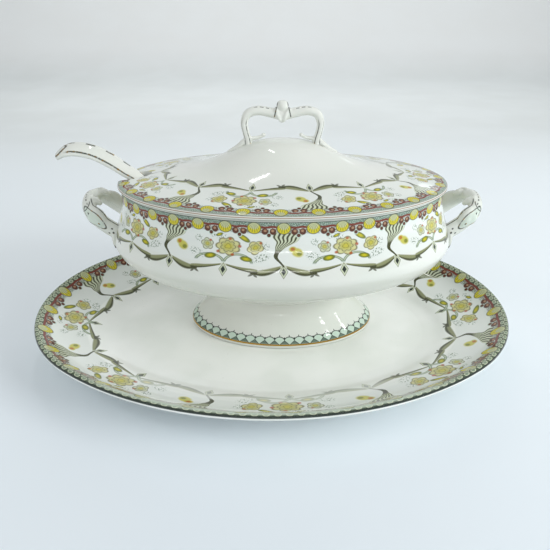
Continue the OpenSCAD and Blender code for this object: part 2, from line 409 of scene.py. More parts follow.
def build_foot():
    outside = smooth([[FOOT_A, FOOT_Z + 3.4], [FOOT_A - 2, FOOT_Z + 6], [FOOT_A - 7, FOOT_Z + 10.6],
                      [FOOT_A - 14, FOOT_Z + 17], [WAIST_A + 2.6, FOOT_Z + 24],
                      [WAIST_A, foot_hi.z]], 6)
    inside = smooth([[0, WAIST_Z - 3.6], [WAIST_A - 14, WAIST_Z - 3.6], [WAIST_A - 6.4, WAIST_Z - 4],
                     [WAIST_A - 3.4, FOOT_Z + 22], [FOOT_A - 19, FOOT_Z + 14],
                     [FOOT_A - 11, FOOT_Z + 7], [FOOT_A - 6, FOOT_Z + 0.4]], 4)
    edge = [[FOOT_A - 5.4, FOOT_Z], [FOOT_A - 1, FOOT_Z], [FOOT_A - 0.3, FOOT_Z + 0.3],
            [FOOT_A, FOOT_Z + 1]]
    section = np.vstack([inside, edge, outside, [[0, foot_hi.z]]])
    depth = run_length(section)
    v = depth - depth[len(inside) + 1]
    v[:len(inside)] = BARE
    return oval_lathe("foot_glazed", section, v, FOOT_RATIO, FOOT_A)


def nearest_on_oval(x, y, a, b):
    """For points inside an ellipse, the angle of the nearest point on it, by Newton's method."""
    turn = np.arctan2(a * y, b * x)
    for _ in range(12):
        c, s = np.cos(turn), np.sin(turn)
        slope = (a * a - b * b) * s * c - x * a * s + y * b * c
        curve = (a * a - b * b) * (c * c - s * s) - x * a * c - y * b * s
        turn = turn - slope / curve
    return turn


def build_lid():
    top = smooth([[LID_A - 0.5, LID_Z + 2.8], [LID_A - 4, LID_Z + 3.9], [118, LID_Z + 5.4],
                  [104, LID_Z + 7.2], [90, LID_Z + 9.4], [75, LID_Z + 12.4], [60, LID_Z + 16.9],
                  [45, LID_Z + 23.4], [30, LID_Z + 30], [15, CROWN_Z - 0.9], [0, CROWN_Z]], 6)
    under = smooth([[0, CROWN_Z - 4.6], [15, CROWN_Z - 5.5], [29, LID_Z + 25.4],
                    [43, LID_Z + 19.2], [58, LID_Z + 12.6], [74, LID_Z + 8], [90, LID_Z + 5],
                    [106, LID_Z + 2.6], [118, LID_Z + 0.6]], 4)
    flange = [[119.4, LID_Z - 6.4], [120.2, LID_Z - 7], [122.8, LID_Z - 7], [123.8, LID_Z - 6],
              [124.6, LID_Z], [LID_A - 1.6, LID_Z], [LID_A - 0.7, LID_Z + 0.3],
              [LID_A - 0.1, LID_Z + 1], [LID_A, LID_Z + 1.6]]
    section = np.vstack([under, flange, top])
    columns = 320
    lid, total = oval_lathe("lid_glazed", section, [0] * len(section), BODY_RATIO, LID_A, columns)
    print_lid(lid, total, len(under) + len(flange) - 2, columns)
    cut_notch(lid)
    return lid, total


def print_lid(lid, total, edge_row, columns):
    """The lid's print coordinates, with v as the distance to the nearest point of the edge. The
    crown has no print, and the rings of points from edge_row down take it round the edge."""
    a, b = LID_A, LID_A * BODY_RATIO
    fine, length = oval_edge(a, b)
    points = points_of(lid)
    x, y = points[:, 0] - MID.x, points[:, 1] - MID.y
    printed = np.zeros(len(points), bool)
    printed[(edge_row - 1) * columns:-2] = True
    printed[-1] = True
    bare_crown = 0.45
    outer = printed & (np.hypot(x / a, y / b) > bare_crown)
    uvs = np.full((len(points), 2), BARE)
    uvs[printed, 1] = CROWN_V
    turn = nearest_on_oval(x[outer], y[outer], a, b)
    uvs[outer, 0] = np.interp(turn % TAU, fine, length)
    round_edge = 1.4
    uvs[outer, 1] = np.hypot(x[outer] - a * np.cos(turn), y[outer] - b * np.sin(turn)) + round_edge
    first = edge_row * columns
    for down, low in enumerate((0, -0.6, -1.4, -2.4)):
        ring = slice(first - down * columns, first - (down - 1) * columns)
        uvs[ring, 0] = uvs[first:first + columns, 0]
        uvs[ring, 1] = low
    set_print(lid.data, uvs, total)


def cut_notch(lid):
    """The ladle's slot: an open cut with a round inner end, its edges rounded by the glaze."""
    outline = [(-40, -NOTCH_R), (0, -NOTCH_R)]
    for p in arc(0, 0, NOTCH_R, -90, 90, 24)[1:]:
        outline.append(tuple(p))
    outline += [(-40, NOTCH_R)]
    verts = []
    for z in (LID_Z - 20, LID_Z + 40):
        verts += [(MID.x + NOTCH_X + x, MID.y + y, z) for x, y in outline]
    n = len(outline)
    faces = [tuple(range(n))[::-1], tuple(range(n, 2 * n))]
    faces += [(i, (i + 1) % n, n + (i + 1) % n, n + i) for i in range(n)]
    cutter = make_object("notch_cutter", verts, faces, np.full((2 * n, 2), BARE))
    cut = lid.modifiers.new("notch", "BOOLEAN")
    cut.operation, cut.solver, cut.object = "DIFFERENCE", "EXACT", cutter
    bake_modifiers(lid)
    bpy.data.objects.remove(cutter)
    mesh = lid.data
    bm = bmesh.new()
    bm.from_mesh(mesh)
    sharp = [e for e in bm.edges if len(e.link_faces) == 2 and e.calc_face_angle() > 0.9
             and abs(e.verts[0].co.y / MM - MID.y) < NOTCH_R + 1
             and e.verts[0].co.x / MM - MID.x < NOTCH_X + NOTCH_R + 1
             and abs(e.verts[1].co.y / MM - MID.y) < NOTCH_R + 1]
    bmesh.ops.bevel(bm, geom=sharp, offset=0.5 * MM, segments=2, profile=0.5, affect="EDGES")
    bm.to_mesh(mesh)
    bm.free()
    mesh.shade_smooth()


def handle_path():
    """The loop's path at the +X end, from the near leg's root round to the far leg's."""
    end = grip_hi.x - MID.x - 0.6
    spread = 23
    half = [[131, -spread + 1, 98.3, 6, 5.6], [137.5, -spread, 102.4, 6.4, 5.2],
            [146, -spread, 108.8, 6.4, 4.8], [153, -spread + 2, 115, 6.4, 4.8],
            [end - 8, -spread + 7, 119.6, 6, 5], [end - 6, -spread + 14, 121.6, 5.8, 5.2],
            [end - 5.6, 0, 122.4, 5.8, 5.8]]
    return mirror(half, 1)


def build_side_handle(name, side):
    """The loop with a leaf on each leg and a thumb rest on its crest."""
    across = [-0.62, 0, 0.78]
    path = handle_path()
    shapes = [rod(path, across)]
    for s in (-1, 1):
        shapes += [
            rod([[139, s * 23, 102, 2, 2], [145, s * 24.2, 109, 5.4, 4.6],
                 [149, s * 23.4, 115, 6, 4.8], [153, s * 20.6, 119.6, 3.4, 2.6]], across),
            lump((150.5, s * 25.4, 112.4), (6.2, 5.2, 2.6),
                 [(0.8, 0, 0.6), (-0.6, 0, 0.8), (0, 1, 0)]),
            rod([[152.4, s * 19, 119, 2.4, 2.2], [155.6, s * 15, 123.2, 3.6, 2.6],
                 [158, s * 9.6, 125, 3, 2.2], [158.6, s * 5, 125, 1.6, 1.6]], across),
            rod([[157, s * 11, 124, 3, 2.2], [152, s * 12.4, 123.4, 4.4, 2.4],
                 [147.6, s * 13.4, 120.6, 2, 1.4]], [0, 1, 0]),
            rod([[134, s * 24, 106, 3, 2.2], [136, s * 24, 100, 4.6, 2.6],
                 [137.2, s * 23.6, 93, 3.6, 2.2], [137, s * 23, 86, 1.4, 1.2]], [0, 1, 0])]
    for points, _ in shapes:
        points[:, 0] *= side
        points += np.array(MID)
    obj = melt(name, shapes, 0.6, 5)
    path = moved([[side * p[0]] + p[1:] for p in path])
    return obj, rod_print(obj, path, [-across[0], 0, -side * across[2]])


def lid_loop_path():
    crown = CROWN_Z
    half = [[-27, 0, crown - 8, 5, 3.4], [-27.4, 0, crown - 1, 4, 3],
            [-29.2, 0, crown + 6, 3.8, 2.8], [-30, 0, BAR_Z - 8, 3.8, 3],
            [-27, 0, BAR_Z - 1.4, 4, 3.4], [-19, 0, BAR_Z + 1, 4, 3.6],
            [-9, 0, BAR_Z - 0.6, 4, 3.8], [0, 0, BAR_Z - 2.2, 4.8, 4.2]]
    return moved(mirror(half, 0))


def build_lid_handle():
    crown = CROWN_Z
    path = lid_loop_path()
    shapes = [rod(path, [0, 1, 0])]
    for s in (-1, 1):
        leaf = [[s * 44, 0, crown - 11, 2, 1.5], [s * 36, 0, crown - 6.8, 3.4, 2.2],
                [s * 30, 0, crown - 2, 3.6, 2.4], [s * 24, 0, crown + 0.2, 2.8, 1.7],
                [s * 19, 0, crown + 1, 2.4, 1.4], [s * 14.6, 0, crown + 3, 1.8, 1.1]]
        shapes.append(rod(moved(leaf), [0, 1, 0]))
        shapes.append(lump((MID.x + s * 15, MID.y, crown + 3), (1.8, 2.2, 1.6),
                           [(1, 0, 0), (0, 1, 0), (0, 0, 1)]))
        for y in (-1, 1):
            petal = [[s * 0.3, y * 2, BAR_Z - 7.4, 1, 0.8], [s * 1.8, y * 3.6, BAR_Z - 4.8, 2, 1.4],
                     [s * 3.6, y * 3.6, BAR_Z - 1, 2.2, 1.4], [s * 5.6, y * 2.8, BAR_Z + 3, 1.2, 1]]
            shapes.append(rod(moved(petal), [1, 1, 0]))
    bud = smooth([[0, -1], [3.2, 0], [3.4, 2], [4.4, 4.2], [4.7, 6.2], [3.8, 8.4], [2, 9.5],
                  [0, 9.7]], 4)
    shapes.append(turned(bud + [0, BAR_Z - 1], (MID.x, MID.y), even_turns(24)))
    obj = melt("lid_handle_glazed", shapes, 0.55, 3)
    return obj, rod_print(obj, path, [0, 1, 0])


LADLE_ACROSS = [0.1, 0.9, 0.38]


def ladle_path():
    """The ladle's handle, from its root in the bowl's side to its tip beyond the tureen."""
    start = np.array([LADLE_X - MID.x - LADLE_R + 1.6, LADLE_Z - 6])
    notch = np.array([-119, 139])

    def on_shank(t, wide, thick):
        x, z = start + (notch - start) * t
        return [x, 0, z, wide, thick]

    return moved([on_shank(0, 7, 2.6), on_shank(0.12, 6.4, 3.4), on_shank(0.5, 6, 3.9),
                  on_shank(0.8, 6.2, 3.9), on_shank(1, 6.6, 3.9), [-128.4, 0, 145.4, 7.2, 3.8],
                  [-140, 0, 153.6, 8, 3.7], [-153, 0, 160.2, 8.4, 3.6],
                  [-166, 0, 162.6, 8.6, 3.6], [-175, 0, 161, 8, 3.4], [-182, 0, 156.6, 5.6, 2.6]])


def build_ladle():
    deep, wall, r = LADLE_Z - ladle_lo.z, 3.2, LADLE_R
    outside = smooth([[0, -deep], [r * 0.42, -deep * 0.93], [r * 0.78, -deep * 0.62],
                      [r * 0.95, -8], [r, -0.8]], 6)
    inside = smooth([[r - wall, -0.8], [r * 0.95 - wall, -8], [r * 0.78 - wall, -deep * 0.62 + 1.4],
                     [r * 0.4, -deep * 0.93 + wall], [0, -deep + wall]], 6)
    section = np.vstack([outside, [[r - 0.9, 0], [r - wall + 0.9, 0]], inside])
    shapes = [turned(section + [0, LADLE_Z], (LADLE_X, MID.y), even_turns(96)),
              rod(ladle_path(), LADLE_ACROSS)]
    obj = melt("ladle_glazed", shapes, 0.7, 3)
    return obj, rod_print(obj, ladle_path(), LADLE_ACROSS)


# ---- shader sums ----

class Num:
    """A number worked out in a shader. A sum on it adds a Math node."""

    def __init__(self, net, socket):
        self.net, self.socket = net, socket

    def __add__(self, other):
        return self.net.math("ADD", self, other)

    def __sub__(self, other):
        return self.net.math("SUBTRACT", self, other)

    def __rsub__(self, other):
        return self.net.math("SUBTRACT", other, self)

    def __mul__(self, other):
        return self.net.math("MULTIPLY", self, other)

    def __truediv__(self, other):
        return self.net.math("DIVIDE", self, other)

    def __abs__(self):
        return self.net.math("ABSOLUTE", self)

    __radd__, __rmul__ = __add__, __mul__


class Net:
    """A new material's node tree: short calls for the sums that draw a print, and the colour
    painted so far."""

    def __init__(self, name):
        self.material = bpy.data.materials.new(name)
        self.material.use_nodes = True
        self.tree = self.material.node_tree
        self.shader = self.tree.nodes["Principled BSDF"]
        self.colour = None

    def node(self, kind, values=(), **settings):
        """A new node with its settings. Its inputs take the values, first to first."""
        made = self.tree.nodes.new(kind)
        for key, value in settings.items():
            setattr(made, key, value)
        for socket, value in zip(made.inputs, values):
            self.put(socket, value)
        return made

    def put(self, socket, value):
        if isinstance(value, Num):
            self.tree.links.new(value.socket, socket)
        elif isinstance(value, bpy.types.NodeSocket):
            self.tree.links.new(value, socket)
        else:
            socket.default_value = value

    def math(self, operation, *values):
        return Num(self, self.node("ShaderNodeMath", values, operation=operation).outputs[0])

    def sin(self, a):
        return self.math("SINE", a)

    def low(self, *values):
        """The lowest of any number of values."""
        return reduce(lambda a, b: self.math("MINIMUM", a, b), values)

    def high(self, *values):
        return reduce(lambda a, b: self.math("MAXIMUM", a, b), values)

    def repeat(self, a, length):
        """a taken back to the span from minus to plus half the length."""
        return self.math("WRAP", a, length / 2, -length / 2)

    def step(self, a, start, end):
        """0 to 1 smoothly as a goes from start to end."""
        made = self.node("ShaderNodeMapRange", (a, start, end), interpolation_type="SMOOTHSTEP")
        return Num(self, made.outputs[0])

    def inside(self, a, edge=1.0, soft=0.12):
        """1 where a is under the edge, 0 past it."""
        return self.step(a, edge + soft, edge - soft)

    def band(self, a, middle, half, soft=0.25):
        """1 where a is less than half away from the middle."""
        return self.inside(abs(a - middle), half, soft)

    def point(self, x, y):
        return self.node("ShaderNodeCombineXYZ", (x, y)).outputs[0]

    def split(self, vector):
        return [Num(self, part) for part in self.node("ShaderNodeSeparateXYZ", [vector]).outputs]

    def seen_from(self, point, x, y, rx, ry, turn=0.0):
        """The point in an ellipse's own axes, in which its radius is 1."""
        values = point, (x, y, 0), (0, 0, math.radians(turn)), (rx, ry, 1)
        return self.node("ShaderNodeMapping", values, vector_type="TEXTURE").outputs[0]

    def length(self, vector):
        made = self.node("ShaderNodeVectorMath", [vector], operation="LENGTH")
        return Num(self, made.outputs["Value"])

    def blob(self, *place):
        """Distance from an ellipse's centre, 1 on its outline. Takes what seen_from takes."""
        return self.length(self.seen_from(*place))

    def mix(self, under, over, mask):
        made = self.node("ShaderNodeMix", data_type="RGBA")
        for i, value in ((0, mask), (6, under), (7, over)):
            self.put(made.inputs[i], value)
        return made.outputs[2]

    def paint(self, colour, mask):
        """Lays a colour over what is painted so far."""
        self.colour = self.mix(self.colour, colour, mask)

    def done(self):
        """Gives the shader the painted colour, and returns the material."""
        self.put(self.shader.inputs["Base Color"], self.colour)
        return self.material

    def noise(self, vector, scale, detail):
        made = self.node("ShaderNodeTexNoise")
        self.put(made.inputs["Vector"], vector)
        made.inputs["Scale"].default_value = scale
        made.inputs["Detail"].default_value = detail
        return Num(self, made.outputs[0])


def ink(code):
    """A colour from its hex code, as the shader takes it."""
    parts = [int(code[i:i + 2], 16) / 255 for i in (0, 2, 4)]
    linear = [p / 12.92 if p <= 0.04045 else ((p + 0.055) / 1.055) ** 2.4 for p in parts]
    return (*linear, 1)


WHITE = ink("e3e5de")
MINT = ink("c9dccd")
TEAL = ink("64796a")
DARK = ink("29332c")
RED = ink("762a16")
BERRY = ink("582a10")
BLUSH = ink("b98f6a")
YELLOW = ink("d6c814")
PALE = ink("ced5b8")
PEACH = ink("d1cf94")
ORANGE = ink("ae5220")
LIME = ink("c3bd2c")
MOSS = ink("8a8e66")
LEAF = ink("68741d")
OLIVE = ink("43462a")
GREY_LEAF = ink("72866f")
GILT = ink("c79a3c")


def glazed(name, white=WHITE):
    """Glossy white glaze with a faint tone and dust. Returns its net and the print's u and v."""
    net = Net(name)
    net.shader.inputs["IOR"].default_value = 1.52
    where = net.node("ShaderNodeTexCoord").outputs["Object"]
    net.colour = white
    net.paint(ink("dbe2d8"), net.step(net.noise(where, 22.0, 2.0), 0.35, 0.7) * 0.35)
    net.paint(ink("b9b6a6"), net.step(net.noise(where, 900.0, 1.0), 0.76, 0.8) * 0.5)
    rough = net.step(net.noise(where, 60.0, 2.0), 0.2, 0.8) * 0.05 + 0.05
    net.put(net.shader.inputs["Roughness"], rough)
    peel = net.node("ShaderNodeBump")
    peel.inputs["Strength"].default_value = 0.06
    peel.inputs["Distance"].default_value = 0.0004
    net.put(peel.inputs["Height"], net.noise(where, 130.0, 2.0))
    net.put(net.shader.inputs["Normal"], peel.outputs[0])
    u, v, _ = net.split(net.node("ShaderNodeUVMap", uv_map=PRINT).outputs[0])
    return net, u, v


def gild(net, mask):
    """Burnished gilding: metal where the mask is 1."""
    net.put(net.shader.inputs["Metallic"], mask)
    net.paint(GILT, mask)


def flower(net, p, x, y, rx, ry, turn, petals, fill):
    """A rose seen from the side: scalloped outline, a ring of inner petals, a warm heart."""
    spot = net.seen_from(p, x, y, rx, ry, turn)
    px, py, _ = net.split(spot)
    r = net.length(spot)
    angle = net.math("ARCTAN2", py, px)
    outer = r / (abs(net.sin(angle * (petals / 2))) * 0.22 + 0.8)
    inner = r / (abs(net.sin(angle * (petals / 2) + 1.2)) * 0.16 + 0.46)
    net.paint(fill, net.inside(outer))
    core = r / (abs(net.sin(angle * 1.5 + 0.6)) * 0.1 + 0.17)
    net.paint(LEAF, net.inside(r, 0.5, 0.3) * 0.45)
    net.paint(YELLOW, net.inside(r, 0.36, 0.25) * 0.6)
    veins = net.step(net.sin(angle * petals + r * 4), 0.75, 1.0) * net.step(r, 0.5, 0.62)
    net.paint(ORANGE, veins * net.inside(outer) * 0.2)
    net.paint(OLIVE, net.band(outer, 0.96, 0.06, 0.07) * 0.8)
    net.paint(OLIVE, net.band(core, 1.0, 0.12, 0.15) * 0.6)
    net.paint(OLIVE, net.band(inner, 1.0, 0.07, 0.09) * 0.75)


def spray(net, p):
    """The flowers of one panel, round the calyx that stands on the scroll at x = 0."""
    stems = net.low(abs(net.blob(p, -10, 37.5, 10, 5.6) - 1) * 7,
                    abs(net.blob(p, 9.5, 37.5, 9.5, 6.6) - 1) * 8)
    y = net.split(p)[1]
    net.paint(GREY_LEAF, net.inside(stems, 0.85, 0.2) * net.step(y, 37, 35.5))
    net.paint(PALE, net.inside(stems, 0.4, 0.2) * net.step(y, 36.5, 34.5) * 0.7)
    ragged = net.step(net.noise(p, 0.9, 1.0), 0.52, 0.6)
    sprigs = net.low(net.blob(p, -19.5, 32, 5.4, 2.6, 20), net.blob(p, 25, 32.6, 5.4, 2.6, -20),
                     net.blob(p, -4.6, 19.4, 5.4, 1.8), net.blob(p, -19, 22.4, 2.6, 2.2),
                     net.blob(p, 28, 25.4, 2.4, 2.6))
    net.paint(GREY_LEAF, net.inside(sprigs, 1.0, 0.3) * ragged * 0.9)
    flower(net, p, -12.4, 25.6, 4.6, 3.8, 10, 5, PALE)
    flower(net, p, 21, 26, 5.8, 4.4, -18, 5, PEACH)
    flower(net, p, 2.3, 26, 8.6, 6.0, 0, 7, PEACH)
    spots = net.low(net.blob(p, -4.6, 29.8, 1.4, 1.1), net.blob(p, 10.4, 25.6, 1.4, 1.2),
                    net.blob(p, 5.6, 31.2, 1.5, 1.1), net.blob(p, 3.6, 21.2, 1.5, 1.0),
                    net.blob(p, -10.2, 23, 1.1, 0.9), net.blob(p, 24.4, 23, 1.2, 0.9))
    net.paint(ORANGE, net.inside(spots, 0.8, 0.35) * 0.9)
    leaves = net.low(net.blob(p, 13, 20.2, 4.8, 1.7, 28), net.blob(p, -9.8, 33, 4.2, 1.9, -8),
                     net.blob(p, 15, 33.6, 4.2, 1.7, 8), net.blob(p, -4, 18.8, 2.6, 1.0, -20))
    net.paint(LEAF, net.inside(leaves, 1.0, 0.15))
    net.paint(YELLOW, net.inside(leaves, 0.5, 0.35) * 0.8)


def fan(net, x, y):
    """A shell of wavy ribs that hangs from the border and runs down into a curled stem."""
    middle = net.step(y, 31.5, 38.5) * 5.1 - net.step(y, 19, 31) * 7.5 + 2.4
    width = (1 - net.step(y, 16.5, 29.5)) * 8.2 + 1.7 - net.high(y - 28, 0) * 0.11
    across = (x - middle) / width + net.sin(y * 1.05) * 0.08
    shell = net.inside(abs(across), 1.0, 0.1) * net.step(y, 15.6, 16.6) * net.step(y, 38.8, 38)
    ribs = net.high(net.step(net.sin(across * 19), -0.2, 0.3), net.step(y, 26, 29))
    net.paint(PALE, shell)
    net.paint(OLIVE, shell * ribs)


def scroll(net, away, y, half):
    """The border's inner line: from each fan a thick leafy stroke sags to a barbed spur, and a
    thinner one climbs on to the next cusp. away is how far the fan is, and half is how far from
    it the cusp is."""
    share = away / half
    early = net.low(share / 0.42, 1.0)
    first = net.sin(early * (math.pi / 2)) * 5.0 + 37.4
    first_on = net.step(share, 0.56, 0.53)
    first_half = net.sin(net.low(share / 0.56, 1.0) * math.pi) * 1.8 + 0.5
    late = net.high((share - 0.4) / 0.6, 0.0)
    second = net.sin((1 - late) * (math.pi / 2)) * 3.6 + 37.6
    second_on = net.step(share, 0.4, 0.44)
    second_half = net.sin(net.low(late * 3 + 0.1, 1.0) * (math.pi / 2)) * (1 - late) * 1.4 + 0.45
    strokes = net.high(net.inside((y - first) / first_half, 0.9, 0.25)
                       * net.inside((first - y) / first_half, 0.9, 0.25) * first_on,
                       net.inside(abs(y - second) / second_half, 0.9, 0.25) * second_on)
    net.paint(MOSS, strokes)
    under = net.high(net.step((y - first) / first_half, -0.1, 0.5) * first_on,
                     net.step((y - second) / second_half, -0.1, 0.5) * second_on)
    net.paint(OLIVE, strokes * under)
    spot = net.point(share * 40.4, y)
    spur = net.low(net.blob(spot, 20.8, 43.4, 3.0, 0.8, 28),
                   net.blob(spot, 18.6, 44.4, 1.6, 0.7, -30))
    net.paint(OLIVE, net.inside(spur, 0.95, 0.25) * 0.85)


def pendants(net, x, y):
    """A dark drop under every cusp, with its pale halo."""
    cusp = net.point(x, y)
    drop = abs(x) / 2.9 + abs(y - 41.4) / 4.6
    net.paint(ink("dfe3d2"), net.inside(net.blob(cusp, 0, 38.8, 1.9, 2.0), 1.0, 0.4))
    net.paint(PALE, net.inside(drop, 1.0, 0.1))
    net.paint(OLIVE, net.band(drop, 0.95, 0.07, 0.08) * 0.8)
    net.paint(DARK, net.inside(drop, 0.56, 0.14))


def rosettes(net, x, y, rx, ry, shade):
    """A pale hatched face over a yellow lower edge, inside an olive rim, centred on 0, 0. shade
    is how far down the yellow starts, as a share of the height."""
    spot = net.point(x, y)
    disc = net.blob(spot, 0, 0, rx, ry)
    angle = net.math("ARCTAN2", y + ry * 1.2, x)
    lines = net.step(net.sin(angle * 26), 0.1, 0.8) * net.inside(disc, 0.78, 0.1) * 0.75
    lower = net.step(net.blob(spot, 0, -ry * 0.5, rx, ry), shade, shade + 0.3)
    fill = net.mix(net.mix(ink("c9cda0"), YELLOW, lower), LEAF, lines)
    net.paint(fill, net.inside(disc, 1.0, 0.08))
    net.paint(OLIVE, net.band(disc, 0.98, 0.07, 0.08) * 0.9)


ROSETTE_Y, FLOWER_Y = 13.4, 26     # heights in the motif, which is drawn at the bowl's size


def border(net, u, v, panel, rosette_v, deep, grow, rosette, tall=1.0, inward=0.0):
    """The printed border. u starts at a fan, panel is the repeat, rosette_v is how far in the
    rosettes sit, deep and grow stretch the pattern inward and along, tall stretches its flowers
    and inward moves them towards the scroll."""
    from_fan = net.repeat(u, panel)
    from_middle = net.repeat(u + panel / 2, panel)
    y = (v - rosette_v) / deep + ROSETTE_Y
    net.paint(MINT, net.step(y, 13, 15.5) * net.step(y, 21, 16) * 0.8)
    net.paint(ink("e4e9e4"), net.step(y, 15, 17) * net.step(y, 39, 37) * 0.8)
    scroll(net, abs(from_fan), y, panel / 2)
    pendants(net, net.repeat(u, panel / 2) / grow, y)
    spray(net, net.point(from_middle / grow, (y - FLOWER_Y - inward) / tall + FLOWER_Y))
    beside = net.point(from_fan / grow, y)
    bud = net.low(net.blob(beside, 9, 28.8, 4.2, 3.0, 20), net.blob(beside, 6.2, 26.8, 2.8, 2.0))
    net.paint(LIME, net.inside(bud, 0.95, 0.25) * 0.9)
    net.paint(ORANGE, net.inside(net.blob(beside, 6, 26.6, 1.5, 1.2), 1, 0.4) * 0.8)
    net.paint(LEAF, net.inside(net.blob(beside, 10.4, 29.6, 1.7, 1.3), 1, 0.4) * 0.8)
    fan(net, from_fan / grow, y)
    gap = panel / 4
    from_gap = net.repeat(u + gap / 2, gap)
    mottle = net.step(net.noise(net.point(u, v), 1.1, 1.0), 0.44, 0.52)
    crowded = mottle * net.step(y, 12.8, 13.4) * net.step(y, 17.4, 15.8)
    net.paint(OLIVE, crowded * 0.75)
    net.paint(RED, net.band(y + net.sin(from_gap * (TAU / gap) * 2) * 0.25, 12.6, 0.7, 0.2))
    berry = net.blob(net.point(abs(from_gap) / grow, y), 2.75, 15.4, 2.3, 2.1)
    drop = net.blob(net.point(from_gap / grow, y), 0, 17.8, 1.3, 1.2)
    net.paint(MINT, net.inside(drop, 1.4, 0.2))
    net.paint(BERRY, net.inside(net.low(berry, drop), 1.0, 0.14))
    shine = net.blob(net.point(abs(from_gap) / grow, y), 2.5, 14.9, 0.95, 0.8)
    net.paint(BLUSH, net.inside(shine, 1.0, 0.3) * 0.85)
    rosettes(net, net.repeat(u, gap), v - rosette_v, *rosette)


def soften_ink(net, plain, u, v):
    """Ink as a transfer lays it down: slightly uneven, and a little rubbed off to the glaze."""
    grain = net.noise(net.point(u, v), 1.6, 3.0)
    net.colour = net.mix(plain, net.colour, net.step(grain, 0.18, 0.5) * 0.16 + 0.84)


def stippled(net, u, v, mask):
    """The green ground by an edge, stippled lighter."""
    dots = net.noise(net.point(u, v), 1.5, 1.0)
    net.paint(net.mix(TEAL, MINT, net.step(dots, 0.46, 0.62) * 0.7), mask)


def bowl_material(total):
    """Nine panels of the border, under a green edge with a dark line."""
    net, u, v = glazed("bowl_glaze")
    plain = net.colour
    front = total * 0.75
    stippled(net, u, v, net.step(v, 0.7, 1.1) * net.step(v, 5.0, 4.0))
    net.paint(DARK, net.band(v, 1.0, 0.25) * 0.8)
    border(net, u - front, v, total / 9, 5.2, 1.09, 1.0, (4.6, 4.0, 0.55))
    soften_ink(net, plain, u, v)
    return net.done()


def lid_material(total):
    """Seven panels of the border, under a green band between fine lines."""
    net, u, v = glazed("lid_glaze")
    plain = net.colour
    fan_at = total * 0.75 + 24     # 24 mm to the right of the front, as in the photo
    stippled(net, u, v, net.step(v, 2.2, 2.6) * net.step(v, 5.6, 4.6) * 0.9)
    net.paint(OLIVE, net.band(v, 2.1, 0.22) * 0.8)
    net.paint(ink("8a5f33"), net.band(v, 0.5, 0.4) * 0.9)
    # An olive line low on the lid's edge, where the lid sits on the bowl.
    net.paint(OLIVE, net.band(v, -1.3, 0.3) * 0.6)
    border(net, fan_at - u, v, total / 7, 6.8, 1.18, 1.12, (5.0, 4.2, 0.4))
    soften_ink(net, plain, u, v)
    return net.done()


def stand_material(total):
    """Eight panels of the border, under two rows of scales that are paler at the front."""
    # The stand's glaze is painted a lighter white than the tureen's: painted light that brightens
    # its well and border.
    net, u, v = glazed("stand_glaze", ink("f7f9f5"))
    plain = net.colour
    panel = total / 8
    fan_at = 506.7     # from the right end, round the back, to the fan by the left end
    net.paint(ink("48563f"), net.step(v, 0.6, 1) * net.step(v, 11.6, 9.2))
    crowd = net.step(net.noise(net.point(u, v), 1.0, 1.0), 0.42, 0.52)
    net.paint(ink("7a5b45"), crowd * net.step(v, 8.6, 9.6) * net.step(v, 17, 14))
    gap = panel / 19
    for row, depth_in in enumerate((3.6, 6.8)):
        x = net.repeat(u - fan_at + gap * row / 2, gap)
        scale = net.blob(net.point(x, v), 0, depth_in, 2.6, 1.7)
        net.paint(ink("7f9079"), net.inside(scale, 0.9, 0.12))
        net.paint(PALE, net.band(scale, 0.85, 0.14, 0.12))
    back = net.split(net.node("ShaderNodeTexCoord").outputs["Object"])[1]     # in metres
    # Towards the front, the band of scales is painted over with pale grey-green.
    paler_front = net.step(back, -0.112, -0.132) * net.step(v, 2.0, 3.6) * net.step(v, 15, 11)
    net.paint(ink("c3cfc0"), paler_front * 0.88)
    net.paint(DARK, net.band(v, 1.2, 0.9))
    border(net, fan_at - u, v, panel, 10.8, 1.4, 1.45, (5.2, 6.6, 0.62), 1.1, 2.6)
    # Towards the front, the print from v 41 inward is half covered with the plain glaze colour.
    net.paint(plain, net.step(back, -0.082, -0.1) * net.step(v, 38, 41) * 0.5)
    soften_ink(net, plain, u, v)
    return net.done()


def foot_material(total):
    """A row of pointed scales with a tick over each, on green above a gilt line."""
    net, u, v = glazed("foot_glaze")
    plain = net.colour
    gap = total / 51
    x = net.repeat(u, gap)
    point = net.high(abs(x) / (gap * 0.56) + (8.6 - v) / 4.6,
                     net.blob(net.point(x, v), 0, 7.6, gap * 0.55, 4.4))
    net.paint(TEAL, net.step(v, 4.6, 5.0) * net.step(v, 9.4, 8.4))
    net.paint(MINT, net.inside(point, 1.0, 0.08))
    net.paint(DARK, net.band(point, 0.97, 0.085, 0.06))
    tip = net.low(net.blob(net.point(x, v), 0, 12.8, 0.4, 1.1),
                  net.blob(net.point(net.repeat(u + gap / 2, gap), v), 0, 10.6, 0.6, 0.9))
    net.paint(DARK, net.inside(tip, 1.0, 0.3))
    soften_ink(net, plain, u, v)
    gild(net, net.band(v, 3.9, 0.75))
    return net.done()


def dash(net, u, gap, share):
    return net.inside(abs(net.repeat(u, gap)), gap * share / 2, 0.35)


